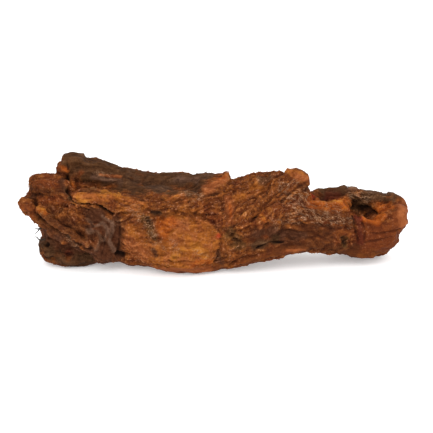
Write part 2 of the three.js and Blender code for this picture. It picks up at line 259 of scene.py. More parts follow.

# Stains lie on the wood, and a few places paint shade or glints on it instead: each has places, and each
# place has a reach, then points x, y, z.
STAINS = {
    "ochre": [
        (3.3, [(-97, -26, 58), (-87, -27, 58), (-78, -26, 57)]),
        (2.0, [(-74, -25, 58), (-60, -24, 54), (-50, -23, 51)]),
        (19, [(-20, -33, 30), (-12, -33, 22)]),
        (12, [(-60, -27, 26), (-44, -32, 18), (-24, -34, 14)]),
        (3.2, [(-125, -20, 48), (-118, -24, 44)]),
        (3, [(53, -9, 70), (59, -9, 69)]),
        (4.5, [(-34, -18, 58), (-19, -19, 58)]),
        (4, [(14, -17, 54), (26, -14, 58), (38, -9, 64)]),
        (3.4, [(-66, -26, 47), (-56, -25, 46)]),
        (11, [(28, 32, 34), (48, 30, 32), (66, 28, 34)]),
        (8, [(-84, 34, 38), (-74, 36, 36)]),
        (6, [(-18, 33, 52), (0, 31, 50)]),
    ],
    "gold": [
        (2.4, [(-97, -26, 56), (-92, -27, 55)]),
        (1.6, [(-80, -22, 61), (-68, -23, 59)]),
        (3.4, [(-16, -34, 25), (-8, -34, 19)]),
        (2.6, [(-24, -34, 22), (-30, -34, 17)]),
        (1.2, [(-127, -19, 49), (-122, -21, 47)]),
        (1.8, [(80, 0, 47), (88, 0, 46)]),
        (1.4, [(31, -26, 45), (33, -26, 43)]),
        (3, [(-54, 37, 35), (-40, 37, 32), (-24, 36, 34)]),
        (2.4, [(28, 32, 37), (42, 31, 33)]),
    ],
    "ember": [
        (4.5, [(-40, -26, 38), (-33, -27, 39), (-37, -29, 33)]),
        (4.0, [(-14, -34, 13), (-5, -31, 12)]),
        (1.6, [(0, -9, 66), (6, -7, 68)]),
        (2.0, [(-124, -20, 47), (-120, -22, 45)]),
        (2.0, [(-110, 1, 71), (-107, 0, 70)]),
        (1.8, [(-102, -5, 62), (-100, -4, 60)]),
        (3.8, [(66, -6, 50), (73, -8, 48), (80, -8, 46), (88, -5, 46), (96, 2, 45)]),
        (4.4, [(84, 6, 47), (89, 4, 46), (95, 7, 44)]),
        (2.8, LIP),
        (3.6, [(117, 3, 43), (124, 2, 43)]),
        (2.6, [(31, -26, 45), (33, -26, 42)]),
        (1.4, [(9, -18, 50), (10, -23, 43)]),
        (4, [(-60, 37, 34), (-50, 37, 31)]),
        (4, [(16, 33, 38), (24, 32, 40)]),
    ],
    "clay": [
        (6, [(-62, -26, 24), (-54, -29, 15)]),
        (4, [(-30, -29, 38), (-22, -30, 36)]),
        (4.0, [(-7, -15, 60), (-1, -11, 63), (6, -7, 67)]),
        (2.0, [(-113, 3, 72)]),
        (1.0, [(-84, 4, 66), (-77, 6, 65), (-69, 6, 64)]),
        (6, [(134, 0, 40), (137, -4, 32)]),
        (1.8, [(56, -12, 69), (62, -12, 67)]),
        (1.8, [(-113, -14, 53), (-107, -17, 51), (-101, -23, 50)]),
        (3.4, [(-56, -27, 5), (-28, -32, 5), (-5, -29, 5)]),
        (1.1, [(49, -22, 18), (56, -21, 18), (62, -20, 18)]),
        (3.4, [(8, -18, 55), (9, -18, 48), (10, -23, 43)]),
        (5, [(-16, 35, 22), (6, 31, 20)]),
    ],
    "scarlet": [
        (2.2, [(1, -27, 30)]),
        (2.2, [(68, 0, 56), (69, 2, 51)]),
        (1.6, [(100, -6, 38), (103, -6, 35)]),
    ],
    "rust": [
        (4.5, [(-114, 4, 71), (-109, 2, 71)]),
        (3.0, [(-88, 4, 67), (-78, 5, 65), (-68, 6, 64)]),
        (3.4, RED_RIDGE),
        (3, [(-134, -12, 46)]),
        (3.6, FOOT_KNOT),
        (13, [(112, -10, 24), (124, -10, 24), (132, -7, 36)]),
        (5, [(-130, -6, 60), (-118, -9, 64), (-110, -10, 61)]),
        (5, [(-2, -24, 42), (8, -24, 38)]),
        (9, [(60, 28, 40), (78, 27, 37)]),
    ],
    "char": [
        (13, [(-100, 10, 76), (-84, 8, 71), (-60, 8, 66), (-36, 6, 63), (-14, 4, 65)]),
        (7, [(-94, 0, 65), (-70, 0, 62), (-44, -6, 61), (-26, -8, 61)]),
        (6, [(68, 15, 54), (93, 18, 55), (112, 14, 51), (128, 11, 48)]),
        # Painted shade in the tunnel at the tip.
        (6, [(99, 10, 46), (105, 8, 40)]),
        (4.5, [(106, 12, 49), (116, 11, 48), (126, 9, 46)]),
        # Painted shade in the hole beside the tenon's end.
        (3, [(-105, -14, 62), (-105, -24, 55)]),
        # Painted shade in the pit under the belly's brow.
        (2.6, BROW_PIT),
        (4, [(26, -27, 22), (40, -22, 26)]),
        (8, [(-121, -10, 14), (-108, -15, 6), (-94, -18, 7)]),
        (7, [(6, 26, 58), (26, 24, 58)]),
        (8, [(-30, 35, 44), (-44, 36, 46)]),
        (10, [(-104, 26, 30), (-96, 30, 20)]),
    ],
    "slate": [
        (4, [(-97, 12, 80), (-92, 11, 79)]),
        (4, [(-62, 2, 64), (-44, -3, 62), (-28, -4, 62)]),
        (3, [(-10, 6, 66), (0, 6, 67)]),
        (6, [(104, 13, 52), (124, 12, 49)]),
        (3.4, [(33, -5, 64), (38, -4, 65)]),
        (1.9, SLAB_LOOP),
        (1.9, SLAB_STRAND),
        (1.6, SLAB_FOLD),
        (5, [(-70, 24, 60), (-40, 24, 58)]),
        (4, [(44, 29, 24), (60, 28, 23), (74, 26, 25)]),
    ],
    "ash": [
        (1.3, SLAB_LOOP),
        (1.3, SLAB_STRAND),
        (1.2, [(-97, -27, 46), (-90, -28, 40), (-87, -28, 34)]),
        (3.0, [(-88, 2, 64), (-70, 2, 62)]),
        (3.0, [(-30, -2, 62), (-14, 0, 64)]),
        (2.0, [(96, 14, 53), (112, 13, 51)]),
    ],
    "umber": [
        # Painted shade under the knob's lip.
        (2.6, [(57, -16, 62), (62, -14, 61), (65, -9, 60)]),
        (9, [(-122, -20, 42), (-108, -26, 38), (-96, -28, 34)]),
        (9, [(26, -28, 26), (44, -24, 28), (62, -20, 28), (80, -16, 28)]),
        (4.5, [(68, -15, 44), (77, -15, 41), (86, -13, 37), (95, -10, 35)]),
        (8, [(62, -19, 22), (80, -16, 18), (94, -12, 12)]),
        (10, [(-56, 36, 40), (-20, 34, 30)]),
        (5, [(-130, -6, 58), (-112, -10, 58)]),
        (7, [(-123, -22, 35), (-112, -25, 28), (-102, -26, 21)]),
        (9, [(-100, 26, 64), (-78, 28, 60)]),
    ],
    "plum": [
        (2.6, [(-44, -33, 21), (-42, -34, 18)]),
        (9, [(-88, -26, 44), (-77, -28, 38), (-78, -26, 22), (-77, -20, 12)]),
        (12, [(-120, -8, 20), (-106, -14, 14), (-92, -18, 14)]),
        (5.0, DISH),
        (5, [(28, -28, 32), (44, -24, 29), (60, -21, 27)]),
        (3.6, [(1, -30, 17), (3, -28, 10)]),
        (2.6, [(-110, -6, 65), (-107, -11, 59)]),
        (3.0, [(-134, -6, 60), (-133, -8, 55)]),
        (6, [(-71, -26, 42), (-70, -25, 30), (-71, -24, 14)]),
        (10, [(96, 25, 28), (112, 22, 26)]),
    ],
    "moss": [
        (3.6, [(-50, -26, 42), (-47, -28, 35), (-44, -31, 29)]),
        (6, [(10, -27, 31), (15, -27, 25)]),
        (3.0, [(91, -13, 24), (93, -12, 19)]),
        (4, [(-88, 33, 28), (-80, 35, 24)]),
    ],
    "wine": [
        (4.0, FOOT_KNOT),
        (3.4, [(80, 10, 51), (88, 10, 51)]),
        (2.6, [(101, -6, 38), (103, -8, 30), (103, -11, 21)]),
        (2.6, [(-4, -25, 41), (3, -27, 36)]),
        (6, [(-4, 33, 30), (8, 32, 28)]),
    ],
    # Where painted glints speckle the wood, and where it frays most and cracks least.
    "speckle": [
        (2.4, [(-86, 4, 66), (-76, 4, 65)]),
        (3.0, [(78, -6, 46), (86, -8, 42)]),
        (3.4, [(44, -15, 62), (56, -14, 66)]),
        (8, [(56, -18, 54), (60, -17, 48), (66, -17, 44)]),
        (6, [(46, -24, 40), (58, -20, 40), (74, -16, 40), (92, -11, 34)]),
        (4, [(98, 9, 49), (110, 10, 49)]),
        (5, [(-60, -26, 47), (-52, -26, 43), (-46, -28, 36), (-44, -31, 28)]),
        (4, [(-38, -34, 27), (-28, -34, 23)]),
        (3, [(-15, -33, 21), (-10, -33, 18)]),
        (1.8, [(-106, -27, 24), (-99, -27, 21)]),
        (4, [(-24, -18, 58), (-12, -20, 56)]),
        (8, [(-70, 35, 32), (-40, 35, 26), (30, 31, 30), (50, 30, 30)]),
    ],
}

# Places that the water has worn smooth: a reach, how far they are worn, then points x, y, z.
WORN = [
    (16, 0.65, [(-100, 10, 76), (-84, 8, 71), (-60, 8, 66), (-36, 6, 63), (-10, 4, 65)]),
    (12, 0.3, [(-126, -4, 62), (-112, -8, 62)]),
    (7, 0.8, [(54, -10, 68), (62, -9, 67)]),
    (17, 1.0, [(112, -8, 22), (128, -8, 22), (136, -2, 36)]),
    (12, 1.0, [(96, -10, 6), (112, -10, 6), (128, -8, 10)]),
    (6, 1.0, [(-86, -20, 5), (-70, -22, 5)]),
    (4, 1.0, [(79, 10, 52), (90, 10, 52)]),
    (8, 0.5, NOSE_TIP),
    (20, 0.45, [(-34, -30, 28), (-10, -31, 26)]),
    (5, 0.6, [(-95, -26, 58), (-85, -27, 58), (-75, -26, 57)]),
    (10, 0.7, [(66, 15, 54), (96, 17, 54), (128, 11, 48)]),
    (9, 0.8, [(-84, -28, 40), (-74, -26, 32), (-74, -24, 16)]),
    (5, 0.6, [(-4, -13, 62), (5, -10, 65)]),
    (5, 1.0, [(-62, -26, 5), (-28, -32, 5), (2, -28, 6)]),
    (5, 1.0, FLANGE),
    (12, 0.5, [(30, -28, 28), (60, -21, 26), (90, -14, 26)]),
    (11, 0.6, [(-123, -12, 24), (-112, -15, 12), (-96, -18, 9)]),
    (20, 0.5, [(-90, 32, 40), (-30, 35, 40)]),
    (16, 0.6, [(90, 26, 32), (116, 20, 34)]),
]

# Rootlets still cling to the foot: points x, y, z.
ROOTLETS = {
    "rootlet_high": [(-123, -9, 30), (-126, -10, 30), (-128, -11, 28), (-130, -11, 26)],
    "rootlet_fork": [(-126, -10, 30), (-128, -11, 30), (-130, -12, 31)],
    "rootlet_low": [(-123, -10, 22), (-127, -11, 22), (-129, -11, 24), (-131, -12, 24)],
}
ROOTLET_WIDTH = 1.3


class Skin:
    """A mesh's points as numbers: their places in millimetres, their normals and their neighbours."""

    def __init__(self, mesh):
        count = len(mesh.vertices)
        self.count = count
        self.points = read(mesh.vertices, "co", count * 3).reshape(-1, 3) / MM
        self.normals = read(mesh.vertices, "normal", count * 3).reshape(-1, 3)
        edges = read(mesh.edges, "vertices", len(mesh.edges) * 2, np.int32).reshape(-1, 2)
        self.ends = np.concatenate([edges, edges[:, ::-1]]).T
        self.valence = np.bincount(self.ends[0], minlength=count)

    def neighbour_mean(self, values):
        here, there = self.ends
        if values.ndim == 1:
            return np.bincount(here, values[there], self.count) / self.valence
        return np.stack([self.neighbour_mean(column) for column in values.T], 1)

    def spread(self, values, rounds):
        """Values averaged with those beside them, again and again."""
        for _ in range(rounds):
            values = (values + self.neighbour_mean(values)) / 2
        return values


def read(items, name, length, kind=np.float64):
    """A mesh's numbers, read all at once."""
    single = np.float32 if kind is np.float64 else kind
    values = np.empty(length, single)
    items.foreach_get(name, values)
    return values.astype(kind)


def move_points(mesh, points):
    mesh.vertices.foreach_set("co", (points * MM).astype(np.float32).ravel())
    mesh.update()


def write_attribute(mesh, name, values):
    values = np.asarray(values, np.float32)
    kind, field = ("FLOAT", "value") if values.ndim == 1 else ("FLOAT_VECTOR", "vector")
    attribute = mesh.attributes.get(name) or mesh.attributes.new(name, kind, "POINT")
    attribute.data.foreach_set(field, values.ravel())


def link(name, data):
    piece = bpy.data.objects.new(name, data)
    bpy.context.scene.collection.objects.link(piece)
    return piece


def settle(piece):
    """Turns a piece and its modifiers into one plain mesh."""
    evaluated = piece.evaluated_get(bpy.context.evaluated_depsgraph_get())
    mesh = bpy.data.meshes.new_from_object(evaluated)
    piece.modifiers.clear()
    old = piece.data
    piece.data = mesh
    bpy.data.meshes.remove(old)
    return mesh


def smoothstep(low, high, values):
    t = np.clip((values - low) / (high - low), 0, 1)
    return t * t * (3 - 2 * t)


def unit(vectors):
    return vectors / (np.linalg.norm(vectors, axis=1)[:, None] + 1e-9)


DEPTH_SHARE = 0.4  # depth counts for less than length and height in how far a point is from a feature


def distance_to_line(points, line):
    """How far each point is from a line of points, with the direction of the line there."""
    line = np.array(line, float)
    weight = np.array([1, DEPTH_SHARE, 1])
    if len(line) == 1:
        return np.linalg.norm((points - line[0]) * weight, axis=1), None
    best = np.full(len(points), np.inf)
    heading = np.zeros_like(points)
    for start, end in zip(line[:-1], line[1:]):
        run = (end - start) * weight
        offset = (points - start) * weight
        t = np.clip(offset @ run / (run @ run), 0, 1)
        distance = np.linalg.norm(offset - t[:, None] * run, axis=1)
        nearer = distance < best
        best[nearer] = distance[nearer]
        heading[nearer] = (end - start) / np.linalg.norm(end - start)
    return best, heading


def same_side(skin, line):
    """1 where the skin faces the way a feature's line lies from the wood's middle, 0 on the far side."""
    outward = np.mean(np.array(line, float), 0)[1]
    facing = skin.normals[:, 1] * math.copysign(1, outward if abs(outward) > 12 else -1)
    return smoothstep(-0.55, -0.15, facing)


# ---------------------------------------------------------------- the eased skin


def eased_skin(node):
    """The solid's surface, remeshed evenly, with the creases between its strands filled a little."""
    bm = bmesh.new()
    bm.from_mesh(node.data)
    bmesh.ops.remove_doubles(bm, verts=bm.verts, dist=1e-6)
    mesh = bpy.data.meshes.new("driftwood_skin")
    bm.to_mesh(mesh)
    bm.free()
    piece = link("driftwood_skin", mesh)
    remesh = piece.modifiers.new("even", "REMESH")
    remesh.mode = "VOXEL"
    remesh.voxel_size = COARSE_VOXEL * MM
    mesh = settle(piece)
    for _ in range(EASE_ROUNDS):
        skin = Skin(mesh)
        pull = skin.neighbour_mean(skin.points) - skin.points
        outward = (pull * skin.normals).sum(1)
        push = np.where(outward > 0, 1.0, 0.25) * outward
        slide = pull - outward[:, None] * skin.normals
        move_points(mesh, skin.points + push[:, None] * skin.normals + 0.5 * slide)
    unwrap(piece)
    finer = piece.modifiers.new("finer", "SUBSURF")
    finer.levels = 1
    finer.render_levels = 1
    settle(piece)
    return piece


def unwrap(piece):
    """Lays the skin out flat while it is still smooth, so that it comes apart in few places."""
    piece.data.uv_layers.new(name="OFBake")
    bpy.context.view_layer.objects.active = piece
    piece.select_set(True)
    bpy.ops.object.mode_set(mode="EDIT")
    bpy.ops.mesh.select_all(action="SELECT")
    bpy.ops.uv.smart_project(angle_limit=math.radians(72), island_margin=0.002)
    bpy.ops.object.mode_set(mode="OBJECT")
    piece.select_set(False)


# ---------------------------------------------------------------- the grain

STEP = 1.7  # how far apart the samples along the grain are
WAVER = 0.34  # how far the grain strays from its lines, in radians


def grain_field(skin, stray):
    """The direction of the grain over the skin, turned round the knots and straying here and there."""
    field = np.tile(np.array(GRAIN_ALONG, float) * 0.02, (skin.count, 1))
    for reach, line in GRAIN_LINES.values():
        distance, heading = distance_to_line(skin.points, line)
        field += (np.exp(-((distance / reach) ** 2)) * same_side(skin, line))[:, None] * heading
    field = unit(field)
    for middle, radius, _ in KNOTS.values():
        radial = skin.points - np.array(middle, float)
        distance = np.linalg.norm(radial, axis=1)
        around = unit(np.cross(skin.normals, radial))
        around *= np.sign((around * field).sum(1))[:, None]
        turn = np.exp(-((distance / (1.9 * radius)) ** 2))[:, None]
        field = field * (1 - turn) + around * turn
    field = unit(field - (field * skin.normals).sum(1)[:, None] * skin.normals)
    across = np.cross(skin.normals, field)
    field = field * np.cos(WAVER * stray)[:, None] + across * np.sin(WAVER * stray)[:, None]
    return unit(skin.spread(field, 5))


# The ways that fine streaks may lie, as steps along and up.
HALF = math.sqrt(0.5)
GRAIN_LAYS = {"lying": (1, 0), "rising": (HALF, HALF), "upright": (0, 1), "falling": (HALF, -HALF)}


class Grain:
    """Follows the grain from point to point, forwards and back."""

    def __init__(self, skin, field):
        tree = KDTree(skin.count)
        for i, point in enumerate(skin.points):
            tree.insert(point, i)
        tree.balance()
        self.ahead = np.array([tree.find(p)[1] for p in skin.points + field * STEP])
        self.behind = np.array([tree.find(p)[1] for p in skin.points - field * STEP])

    def drawn_out(self, values, steps):
        """Values averaged along the grain, so that specks become streaks."""
        total = values.copy()
        weights = 1.0
        forward = backward = np.arange(len(values))
        for k in range(1, steps + 1):
            forward = self.ahead[forward]
            backward = self.behind[backward]
            weight = 0.5 + 0.5 * math.cos(math.pi * k / (steps + 1))
            total += weight * (values[forward] + values[backward])
            weights += 2 * weight
        return total / weights

    def hairs(self, seeds, steps):
        """Thin lines along the grain through each seed, fading out at both ends."""
        best = seeds.copy()
        forward = backward = np.arange(len(seeds))
        for k in range(1, steps + 1):
            forward = self.ahead[forward]
            backward = self.behind[backward]
            fade = 1 - k / (steps + 1)
            best = np.maximum(best, fade * np.maximum(seeds[forward], seeds[backward]))
        return best


def evened(values):
    """Values moved and scaled to a mean of 0 and a spread of 1."""
    return (values - values.mean()) / values.std()


def scattered(random, count, share):
    """Seeds of different strengths at a share of the points."""
    return np.where(random.random(count) < share, random.uniform(0.5, 1, count), 0)


# ---------------------------------------------------------------- relief and stains


def nearness(skin, line, reach, ragged):
    """1 on a feature, falling to 0 past its reach with a ragged edge, and 0 on the far side of the wood."""
    distance, _ = distance_to_line(skin.points, line)
    return smoothstep(1.2, 0.4, distance / reach + ragged) * same_side(skin, line)


def stain_masks(skin, ragged):
    masks = {name: np.zeros(skin.count) for name in STAINS}
    for name, places in STAINS.items():
        for reach, line in places:
            masks[name] = np.maximum(masks[name], nearness(skin, line, reach, ragged))
    return masks


def carve(piece):
    """Cuts the named features and the grain into the skin, and notes what the finish needs."""
    mesh = piece.data
    skin = Skin(mesh)
    random = np.random.default_rng(SEED)

    def noise(rounds):
        return evened(skin.spread(random.standard_normal(skin.count), rounds))

    stray = noise(24)
    field = grain_field(skin, stray)
    grain = Grain(skin, field)
    wander = noise(40)
    patchy = noise(12)
    fibre = evened(grain.drawn_out(noise(1), 2))
    crumb = evened(grain.drawn_out(noise(3), 1))
    flake = evened(grain.drawn_out(noise(9), 3))
    furrow = evened(grain.drawn_out(noise(4), 6))
    ridge = evened(grain.drawn_out(noise(22), 9))
    plates = smoothstep(-0.3, 0.25, flake) - 0.5
    masks = stain_masks(skin, 0.2 * wander + 0.12 * patchy + 0.08 * crumb)
    worn = np.zeros(skin.count)
    for reach, amount, line in WORN:
        worn = np.maximum(worn, amount * nearness(skin, line, reach, 0.15 * wander))
    worn = np.maximum(worn, 0.7 * smoothstep(UNDERSIDE, 0.4 * UNDERSIDE, skin.points[:, 2] + wander))
    cracks = grain.hairs(scattered(random, skin.count, 0.0012), 5) * (1 - 0.5 * masks["speckle"])

    rough = 1 - WEAR * worn
    relief = rough * (FIBRE * fibre + CRUMB * crumb + FLAKE * flake + PLATE * plates + FURROW * furrow)
    relief += RIDGE * ridge - CRACK * cracks - SETTLING

    for reach, height, line in SWELLINGS.values():
        distance, _ = distance_to_line(skin.points, line)
        ragged = distance / reach + 0.07 * wander + 0.06 * patchy
        relief += height * smoothstep(1.15, 0.5, ragged) * same_side(skin, line)
    # Painted shade: how near black the finish paints each cleft, hollow and knot heart.
    deep = np.zeros(skin.count)
    for table, wobble in ((CLEFTS, 0.2), (HOLLOWS, 0.14)):
        for width, depth, shade_strength, line in table.values():
            distance, _ = distance_to_line(skin.points, line)
            ragged = distance + wobble * width * (wander + 0.6 * crumb)
            groove = smoothstep(1.25 * width, 0.2 * width, ragged) * same_side(skin, line)
            relief -= depth * groove
            deep = np.maximum(deep, shade_strength * groove)
    for middle, radius, depth in KNOTS.values():
        distance = np.linalg.norm(skin.points - np.array(middle, float), axis=1) + 0.3 * fibre
        heart = smoothstep(0.75 * radius, 0.2 * radius, distance)
        rim = np.exp(-(((distance - 1.1 * radius) / (0.35 * radius)) ** 2))
        relief += 0.2 * radius * rim - depth * heart
        # Knot hearts get painted shade too.
        deep = np.maximum(deep, 0.6 * heart)

    for name, values in masks.items():
        write_attribute(mesh, name, values)
    write_attribute(mesh, "relief", relief)
    write_attribute(mesh, "worn", worn)
    write_attribute(mesh, "crumb", 0.5 * crumb + 0.35 * fibre + 0.5 * plates)
    write_attribute(mesh, "furrow", 0.5 * furrow + 0.5 * ridge)
    # Hair cracks get painted shade as well.
    write_attribute(mesh, "deep", np.maximum(deep, 0.6 * smoothstep(0.4, 0.9, cracks)))
    torn = (1 - worn) * (0.35 + 0.65 * np.maximum(masks["speckle"], masks["ochre"]))
    write_attribute(mesh, "frayed", torn * smoothstep(2, 12, skin.points[:, 2]))
    write_attribute(mesh, "grain", field)
    for name, (across, up) in GRAIN_LAYS.items():
        lay = (field[:, 0] * across + field[:, 2] * up) ** 2 / (field[:, 0] ** 2 + field[:, 2] ** 2 + 1e-6)
        write_attribute(mesh, name, lay**2)


def stand(piece):
    """Wears the feet flat, so that nothing reaches below the surface the piece stands on."""
    points = Skin(piece.data).points
    low = points[:, 2] < FOOT_ROUNDING
    points[low, 2] = FOOT_ROUNDING * np.exp((points[low, 2] - FOOT_ROUNDING) / FOOT_ROUNDING)
    move_points(piece.data, points)


def note_hollows(piece):
    """Notes where the finished skin is hollow and where it stands proud; the finish paints shade into the
    hollows.
    """
    skin = Skin(piece.data)
    near = ((skin.points - skin.spread(skin.points, 5)) * skin.normals).sum(1)
    wide = ((skin.points - skin.spread(skin.points, 40)) * skin.normals).sum(1)
    write_attribute(piece.data, "proud", near / 0.35)
    write_attribute(piece.data, "standing", wide / 1.6)


# ---------------------------------------------------------------- nodes, for shapes and for finishes


class Wire:
    """A node's output that can be written into sums."""

    def __init__(self, nodes, socket):
        self.nodes = nodes
        self.socket = socket

    def __add__(self, other):
        return self.nodes.maths("ADD", self, other)

    def __sub__(self, other):
        return self.nodes.maths("SUBTRACT", self, other)

    def __rsub__(self, other):
        return self.nodes.maths("SUBTRACT", other, self)

    def __mul__(self, other):
        return self.nodes.maths("MULTIPLY", self, other)

    def __truediv__(self, other):
        return self.nodes.maths("DIVIDE", self, other)

    def __rtruediv__(self, other):
        return self.nodes.maths("DIVIDE", other, self)

    __radd__ = __add__
    __rmul__ = __mul__

    def limited(self):
        """Kept between 0 and 1."""
        return self.nodes.maths("MINIMUM", self.nodes.maths("MAXIMUM", self, 0.0), 1.0)

    def step(self, low, high):
        """A soft step from 0 at low to 1 at high."""
        sockets = {"Value": self, "From Min": low, "From Max": high}
        return self.nodes.node("ShaderNodeMapRange", {"interpolation_type": "SMOOTHSTEP"}, sockets)


class Nodes:
    """A tree that is made one node at a time."""

    def __init__(self, tree):
        self.tree = tree

    def feed(self, socket, value):
        if isinstance(value, Wire):
            self.tree.links.new(value.socket, socket)
        else:
            socket.default_value = value

    def node(self, kind, settings, sockets, output=0):
        """Adds a node: its settings first, then the values or links of its sockets, by name or by number."""
        made = self.tree.nodes.new(kind)
        for name, value in settings.items():
            if name == "stops":
                set_stops(made.color_ramp, value)
            else:
                setattr(made, name, value)
        for key, value in sockets.items():
            self.feed(made.inputs[key], value)
        return Wire(self, made.outputs[output])

    def maths(self, operation, a, b):
        return self.node("ShaderNodeMath", {"operation": operation}, {0: a, 1: b})


def set_stops(ramp, stops):
    while len(ramp.elements) < len(stops):
        ramp.elements.new(0.5)
    for element, (place, colour) in zip(ramp.elements, stops):
        element.position = place
        element.color = (*colour, 1.0)


# ---------------------------------------------------------------- geometry nodes


class Shaping(Nodes):
    """A geometry nodes tree with named inputs, which ends in a finish."""

    def __init__(self, name):
        super().__init__(bpy.data.node_groups.new(name, "GeometryNodeTree"))
        self.tree.interface.new_socket("Geometry", in_out="OUTPUT", socket_type="NodeSocketGeometry")
        self.tree.interface.new_socket("Geometry", in_out="INPUT", socket_type="NodeSocketGeometry")
        self.start = self.tree.nodes.new("NodeGroupInput")
        self.geometry = Wire(self, self.start.outputs["Geometry"])

    def size(self, name, kind="NodeSocketFloat"):
        self.tree.interface.new_socket(name, in_out="INPUT", socket_type=kind)
        return Wire(self, self.start.outputs[name])

    def noted(self, name, kind="FLOAT"):
        return self.node("GeometryNodeInputNamedAttribute", {"data_type": kind}, {"Name": name})

    def finish(self, geometry, material):
        whole = self.node("GeometryNodeRealizeInstances", {}, {"Geometry": geometry})
        dressed = self.node("GeometryNodeSetMaterial", {}, {"Geometry": whole, "Material": material})
        end = self.tree.nodes.new("NodeGroupOutput")
        self.tree.links.new(dressed.socket, end.inputs[0])

    def shape(self, piece, sizes):
        """Puts the tree on a piece with its sizes set, and makes the result a plain mesh."""
        modifier = piece.modifiers.new(self.tree.name, "NODES")
        modifier.node_group = self.tree
        for item in self.tree.interface.items_tree:
            if item.in_out == "INPUT" and item.name in sizes:
                modifier[item.identifier] = sizes[item.name]
        piece.update_tag()
        settle(piece)


def weathering(material):
    """Pushes the skin in and out by its noted relief, with slow lumps and small pores added."""
    tree = Shaping("weathering")
    millimetre = tree.size("Millimetre")
    seed = tree.size("Seed")

    def roughness(name, detail):
        scale = 1 / (tree.size(name + " Size") * millimetre)
        sockets = {"W": seed, "Scale": scale, "Detail": detail, "Roughness": 0.55}
        waves = tree.node("ShaderNodeTexNoise", {"noise_dimensions": "4D"}, sockets)
        return (waves - 0.5) * tree.size(name + " Height")

    kept = 1 - 0.5 * tree.noted("worn")
    height = tree.noted("relief") + kept * (roughness("Lump", 3.0) + roughness("Pore", 2.0))
    normal = tree.node("GeometryNodeInputNormal", {}, {})
    lift = {0: normal, "Scale": height * millimetre}
    offset = tree.node("ShaderNodeVectorMath", {"operation": "SCALE"}, lift)
    moved = tree.node("GeometryNodeSetPosition", {}, {"Geometry": tree.geometry, "Offset": offset})
    tree.finish(moved, material)
    return tree


def fraying(material):
    """Sets short curled fibres on the frayed parts of the skin, along its grain, each with its own lift."""
    tree = Shaping("fraying")
    millimetre = tree.size("Millimetre")
    crowding = tree.size("Fibres in a Square Centimetre")
    shortest = tree.size("Shortest")
    longest = tree.size("Longest")
    thickness = tree.size("Thickness in Lengths")
    seed = tree.size("Seed", "NodeSocketInt")

    def chance(low, high, shift, kind="FLOAT"):
        numbers = {"FLOAT": (2, 3), "FLOAT_VECTOR": (0, 1)}[kind]
        sockets = {numbers[0]: low, numbers[1]: high, "Seed": seed + shift}
        output = 1 if kind == "FLOAT" else 0
        return tree.node("FunctionNodeRandomValue", {"data_type": kind}, sockets, output)

    density = crowding * tree.noted("frayed") * (0.01 / (millimetre * millimetre))
    scatter = {"Mesh": tree.geometry, "Density": density, "Seed": seed}
    points = tree.node("GeometryNodeDistributePointsOnFaces", {"distribute_method": "RANDOM"}, scatter)
    facing = Wire(tree, points.socket.node.outputs["Normal"])

    curl = tree.node(
        "GeometryNodeCurveQuadraticBezier",
        {},
        {"Resolution": 3, "Start": (-0.5, 0, -0.07), "Middle": (0, 0.12, 0.22), "End": (0.5, -0.05, 0.05)},
    )
    along = tree.node("GeometryNodeSplineParameter", {}, {})
    tapered = tree.node("GeometryNodeSetCurveRadius", {}, {"Curve": curl, "Radius": 1 - 0.65 * along})
    section = {"Resolution": 3, "Radius": thickness}
    ring = tree.node("GeometryNodeCurvePrimitiveCircle", {"mode": "RADIUS"}, section)
    swept = {"Curve": tapered, "Profile Curve": ring, "Fill Caps": True}
    strand = tree.node("GeometryNodeCurveToMesh", {}, swept)

    upright = tree.node("FunctionNodeAlignRotationToVector", {"axis": "Z"}, {"Vector": facing})
    laid = tree.node(
        "FunctionNodeAlignRotationToVector",
        {"axis": "X", "pivot_axis": "Z"},
        {"Rotation": upright, "Vector": tree.noted("grain", "FLOAT_VECTOR")},
    )
    turned = tree.node(
        "FunctionNodeRotateRotation",
        {"rotation_space": "LOCAL"},
        {"Rotation": laid, "Rotate By": chance((-0.3, -0.45, -0.7), (0.3, 0.1, 0.7), 1, "FLOAT_VECTOR")},
    )
    length = chance(shortest, longest, 2) * millimetre
    fibres = tree.node(
        "GeometryNodeInstanceOnPoints",
        {},
        {"Points": points, "Instance": strand, "Rotation": turned, "Scale": length},
    )
    lifted = tree.node(
        "GeometryNodeStoreNamedAttribute",
        {"data_type": "FLOAT", "domain": "INSTANCE"},
        {"Geometry": fibres, "Name": "loose", "Value": chance(0.2, 1.0, 3)},
    )
    tree.finish(lifted, material)
    return tree


# ---------------------------------------------------------------- finishes


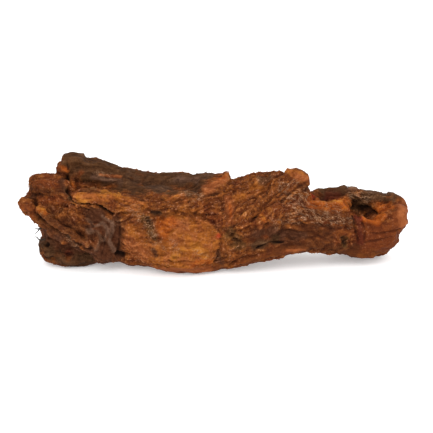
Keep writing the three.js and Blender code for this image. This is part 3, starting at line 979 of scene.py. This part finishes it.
class Paint(Nodes):
    """A material that is made one node at a time."""

    def __init__(self, name):
        self.material = bpy.data.materials.new(name)
        self.material.use_nodes = True
        super().__init__(self.material.node_tree)
        self.shader = self.tree.nodes["Principled BSDF"]

    def show(self, name, value):
        self.feed(self.shader.inputs[name], value)

    def noted(self, name):
        """What the skin's own attribute says."""
        return self.node("ShaderNodeAttribute", {"attribute_name": name}, {}, "Fac")

    def noise(self, size, detail=3.0, curl=0.0, stretch=1.0, turn=0.0, shift=0.0):
        """Noise in grains of a size in millimetres, drawn out along a direction, between 0 and 1."""
        place = self.node("ShaderNodeTexCoord", {}, {}, "Object")
        laid = {
            "Vector": place,
            "Location": (shift, shift, shift),
            "Rotation": (0, -turn, 0),
            "Scale": (stretch, 1, 1),
        }
        spot = self.node("ShaderNodeMapping", {"vector_type": "TEXTURE"}, laid)
        sockets = {"Vector": spot, "Scale": 1 / (size * MM), "Detail": detail, "Distortion": curl}
        return self.node("ShaderNodeTexNoise", {}, sockets)

    def streaks(self, size, detail, stretch, curl):
        """Noise drawn out along the grain, whichever way it lies: one for each lay, in its share."""
        shares = [self.noted(name) for name in GRAIN_LAYS]
        parts = []
        for share, (across, up) in zip(shares, GRAIN_LAYS.values()):
            turn = math.atan2(up, across)
            parts.append(share * self.noise(size, detail, curl, stretch, turn, turn))
        return sum(parts[1:], parts[0]) / sum(shares[1:], shares[0])

    def mix(self, factor, first, second, blend="MIX"):
        settings = {"data_type": "RGBA", "blend_type": blend}
        return self.node("ShaderNodeMix", settings, {0: factor, 6: first, 7: second}, 2)


TONES = (0.0, 0.38, 0.70, 1.0)
# Each stain's colours, from its dark gaps to its pale fibres.
COLOURS = {
    "wood": [(0.025, 0.006, 0.002), (0.091, 0.024, 0.006), (0.162, 0.047, 0.009), (0.359, 0.158, 0.060)],
    "rust": [(0.027, 0.006, 0.002), (0.096, 0.021, 0.006), (0.150, 0.037, 0.009), (0.251, 0.081, 0.029)],
    "ochre": [(0.076, 0.020, 0.004), (0.204, 0.057, 0.009), (0.312, 0.099, 0.017), (0.492, 0.215, 0.061)],
    "ember": [(0.081, 0.013, 0.002), (0.244, 0.049, 0.006), (0.361, 0.089, 0.011), (0.505, 0.186, 0.037)],
    "clay": [(0.070, 0.015, 0.005), (0.215, 0.058, 0.016), (0.320, 0.102, 0.032), (0.480, 0.215, 0.098)],
    "gold": [(0.100, 0.031, 0.006), (0.261, 0.086, 0.012), (0.379, 0.144, 0.022), (0.559, 0.279, 0.067)],
    "scarlet": [(0.063, 0.006, 0.002), (0.225, 0.022, 0.007), (0.343, 0.043, 0.013), (0.451, 0.118, 0.045)],
    "char": [(0.011, 0.005, 0.003), (0.045, 0.019, 0.007), (0.074, 0.034, 0.015), (0.156, 0.091, 0.045)],
    "slate": [(0.015, 0.007, 0.005), (0.058, 0.028, 0.015), (0.113, 0.058, 0.033), (0.205, 0.126, 0.080)],
    "ash": [(0.026, 0.012, 0.008), (0.085, 0.041, 0.025), (0.155, 0.080, 0.051), (0.270, 0.165, 0.115)],
    "umber": [(0.016, 0.004, 0.002), (0.059, 0.016, 0.005), (0.100, 0.030, 0.008), (0.198, 0.082, 0.032)],
    "plum": [(0.012, 0.005, 0.002), (0.047, 0.015, 0.006), (0.077, 0.028, 0.014), (0.165, 0.084, 0.045)],
    "moss": [(0.013, 0.007, 0.002), (0.054, 0.024, 0.007), (0.095, 0.047, 0.015), (0.225, 0.127, 0.052)],
    "wine": [(0.016, 0.004, 0.002), (0.060, 0.011, 0.005), (0.090, 0.019, 0.007), (0.163, 0.051, 0.022)],
}
# How strongly each stain covers the wood, from the one that lies lowest.
STRENGTHS = {
    "umber": 0.95,
    "plum": 0.9,
    "moss": 0.72,
    "char": 0.9,
    "slate": 0.7,
    "ash": 0.64,
    "clay": 0.85,
    "ember": 0.72,
    "gold": 0.8,
    "scarlet": 0.85,
    "wine": 0.9,
}
# Painted glints: pale specks stand for light caught on frayed fibres.
PAINTED_GLINT = (0.50, 0.29, 0.17, 1)
BLUSH = (0.42, 0.19, 0.10, 1)
PAINTED_HOLLOW_SHADE = (0.30, 0.19, 0.14, 1)
SHADOW = (0.007, 0.003, 0.002, 1)


def driftwood_finish():
    paint = Paint("weathered_wood")
    crumb = paint.noted("crumb")
    proud = paint.noted("proud")
    standing = paint.noted("standing")
    worn = paint.noted("worn")
    loose = paint.noted("loose")
    threads = paint.streaks(0.7, 3.0, 3.2, 0.5)
    splinters = paint.streaks(2.1, 3.0, 3.0, 0.5)
    grit = paint.noise(0.85)
    mottle = paint.noise(4.2, 3.0, 1.0)
    blotch = paint.noise(9, 2.0, 0.5)
    second_blotch = paint.noise(15, 2.0, 0.5, shift=0.4)

    harsh = 1 - 0.3 * worn
    tone = 0.46 + 0.03 * paint.noted("furrow") + harsh * (0.09 * crumb + 0.07 * proud) + 0.22 * loose
    tone = tone + 0.3 * (blotch - 0.5) + 0.5 * (mottle - 0.5)
    tone = (tone + harsh * (0.8 * (threads - 0.5) + 0.42 * (splinters - 0.5) + 0.5 * (grit - 0.5))).limited()

    def shades(name):
        return paint.node("ShaderNodeValToRGB", {"stops": list(zip(TONES, COLOURS[name]))}, {"Fac": tone})

    colour = shades("wood")
    rusty = paint.noted("rust") + 0.6 * (second_blotch - 0.5).step(0.0, 0.1)
    rusty = rusty + 0.5 * (0.46 - mottle).step(0.0, 0.06)
    colour = paint.mix(0.85 * rusty.limited(), colour, shades("rust"))
    amber = paint.noted("ochre") + 0.45 * (mottle - 0.55).step(0.0, 0.06) * (1 - worn)
    colour = paint.mix(amber.limited(), colour, shades("ochre"))
    flushed = amber.limited() * (0.52 - blotch).step(0.0, 0.07)
    colour = paint.mix(0.6 * flushed, colour, shades("clay"))
    for name, strength in STRENGTHS.items():
        colour = paint.mix(strength * paint.noted(name), colour, shades(name))

    # Painted glints: pale curls and dots, mostly where the glint speckle lies, and on loose fibres there.
    curls = 1 - 12 * paint.maths("ABSOLUTE", threads - 0.55, 0.0)
    dots = (paint.noise(0.65, 1.0, shift=0.3) - 0.56).step(0.0, 0.08)
    glint_patches = (splinters - 0.47).step(0.0, 0.1) * (0.08 + 0.92 * paint.noted("speckle")) * (1 - 0.9 * worn)
    glint_specks = (0.25 * curls.limited() + 0.9 * dots) * glint_patches
    flecks = (glint_specks + 0.35 * loose * paint.noted("speckle")).limited()
    colour = paint.mix(flecks, colour, PAINTED_GLINT)
    blush = (paint.noise(1.7, 2.0, shift=0.9) - 0.56).step(0.0, 0.05) * (threads - 0.5).step(0.0, 0.06)
    dark = (paint.noted("char") + paint.noted("umber") + paint.noted("plum")).limited()
    colour = paint.mix(0.5 * (1 - 0.7 * worn) * (1 - 0.75 * dark) * blush, colour, BLUSH)
    # Painted shade: the colour is darkened where the skin lies sunk.
    hollow_shade = (0.5 - 0.4 * standing - 0.16 * proud).limited()
    colour = paint.mix(0.5 * hollow_shade, colour, PAINTED_HOLLOW_SHADE, "MULTIPLY")
    # Painted shade: cracks, hollows and knot hearts go near black.
    colour = paint.mix(0.9 * paint.noted("deep").step(0.15, 0.8), colour, SHADOW)

    height = harsh * (0.7 * threads + 0.4 * grit + 0.3 * flecks)
    bump = paint.node("ShaderNodeBump", {}, {"Strength": 0.8, "Distance": 0.8 * MM, "Height": height})
    paint.show("Base Color", colour)
    paint.show("Roughness", 0.68 + 0.3 * (grit - 0.5) - 0.1 * worn)
    paint.show("Specular IOR Level", 0.03)
    paint.show("Normal", bump)
    return paint.material


def rootlet_finish():
    paint = Paint("rootlet_bark")
    flecks = paint.noise(0.6)
    stops = [(0.3, (0.010, 0.007, 0.005)), (0.7, (0.055, 0.036, 0.024))]
    paint.show("Base Color", paint.node("ShaderNodeValToRGB", {"stops": stops}, {"Fac": flecks}))
    paint.show("Roughness", 0.6 + 0.3 * flecks)
    paint.show("Specular IOR Level", 0.1)
    return paint.material


def floor_finish():
    paint = Paint("studio_floor")
    paint.show("Base Color", (0.9, 0.9, 0.9, 1))
    paint.show("Roughness", 0.9)
    paint.show("Specular IOR Level", 0.1)
    paint.show("Emission Color", (1, 1, 1, 1))
    paint.show("Emission Strength", 0.3)
    return paint.material


# ---------------------------------------------------------------- the pieces


def driftwood_skin(finish):
    skin = eased_skin(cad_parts[NODE])
    carve(skin)
    sizes = {
        "Millimetre": MM,
        "Seed": 3.0,
        "Lump Size": 11.0,
        "Lump Height": 4.0,
        "Pore Size": 2.4,
        "Pore Height": 1.1,
    }
    weathering(finish).shape(skin, sizes)
    stand(skin)
    note_hollows(skin)
    skin.data.polygons.foreach_set("use_smooth", np.ones(len(skin.data.polygons), bool))
    return skin


def loose_fibres(skin, finish):
    mesh = skin.data.copy()
    mesh.uv_layers.remove(mesh.uv_layers["OFBake"])
    piece = link("loose_fibres", mesh)
    sizes = {
        "Millimetre": MM,
        "Fibres in a Square Centimetre": 20.0,
        "Seed": SEED,
        "Shortest": 1.5,
        "Longest": 3.8,
        "Thickness in Lengths": 0.068,
    }
    fraying(finish).shape(piece, sizes)
    return piece


def rootlets(finish):
    data = bpy.data.curves.new("rootlets", "CURVE")
    data.dimensions = "3D"
    data.bevel_depth = ROOTLET_WIDTH / 2 * MM
    data.bevel_resolution = 1
    data.use_fill_caps = True
    data.resolution_u = 4
    for line in ROOTLETS.values():
        spline = data.splines.new("BEZIER")
        spline.bezier_points.add(len(line) - 1)
        for i, (point, place) in enumerate(zip(spline.bezier_points, line)):
            point.co = Vector(place) * MM
            point.handle_left_type = point.handle_right_type = "AUTO"
            point.radius = 1 - 0.7 * i / (len(line) - 1)
    piece = link("rootlets", data)
    mesh = bpy.data.meshes.new_from_object(piece.evaluated_get(bpy.context.evaluated_depsgraph_get()))
    bpy.data.objects.remove(piece)
    bpy.data.curves.remove(data)
    mesh.materials.clear()
    mesh.materials.append(finish)
    return link("rootlets", mesh)


# ---------------------------------------------------------------- the studio

# Each lamp has its place and its size in metres, and its power in watts. All of them face the wood.
LAMPS = {
    "key_light": ((-0.4, -1.1, 0.8), 0.9, 11),
    "fill_light": ((0.9, -0.6, 0.7), 1.0, 5),
    "top_light": ((0.1, 0.3, 1.3), 1.2, 3.5),
}
FLOOR_SIDE = 6
LENS = 115.5
CAMERA_TILT = 17  # degrees down from level
CAMERA_DISTANCE = 1000
CAMERA_AIM = (-0.24, 0, 35.92)


def studio():
    scene = bpy.context.scene
    scene.view_settings.view_transform = "Standard"
    scene.view_settings.look = "None"

    bpy.ops.mesh.primitive_plane_add(size=FLOOR_SIDE)
    floor = bpy.context.object
    floor.name = "studio_floor"
    floor.data.materials.append(floor_finish())

    world = bpy.data.worlds.new("studio_world")
    world.use_nodes = True
    world.node_tree.nodes["Background"].inputs["Color"].default_value = (1, 1, 1, 1)
    world.node_tree.nodes["Background"].inputs["Strength"].default_value = 1.0
    scene.world = world

    for name, (place, size, power) in LAMPS.items():
        lamp(name, place, size, power)

    data = bpy.data.cameras.new("camera")
    data.lens = LENS
    data.clip_end = 20
    camera = bpy.data.objects.new("camera", data)
    scene.collection.objects.link(camera)
    aim = Vector(CAMERA_AIM) * MM
    tilt = math.radians(CAMERA_TILT)
    camera.location = aim + Vector((0, -math.cos(tilt), math.sin(tilt))) * CAMERA_DISTANCE * MM
    camera.rotation_euler = (math.pi / 2 - tilt, 0, 0)
    scene.camera = camera


def lamp(name, place, size, power):
    data = bpy.data.lights.new(name, "AREA")
    data.shape = "DISK"
    data.size = size
    data.energy = power
    lit = bpy.data.objects.new(name, data)
    lit.location = place
    lit.rotation_euler = (-Vector(place)).to_track_quat("-Z", "Y").to_euler()
    bpy.context.scene.collection.objects.link(lit)


finish = driftwood_finish()
skin = driftwood_skin(finish)
pieces = [skin, loose_fibres(skin, finish), rootlets(rootlet_finish())]
for piece in pieces:
    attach(piece, "root")
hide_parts(NODE)
studio()
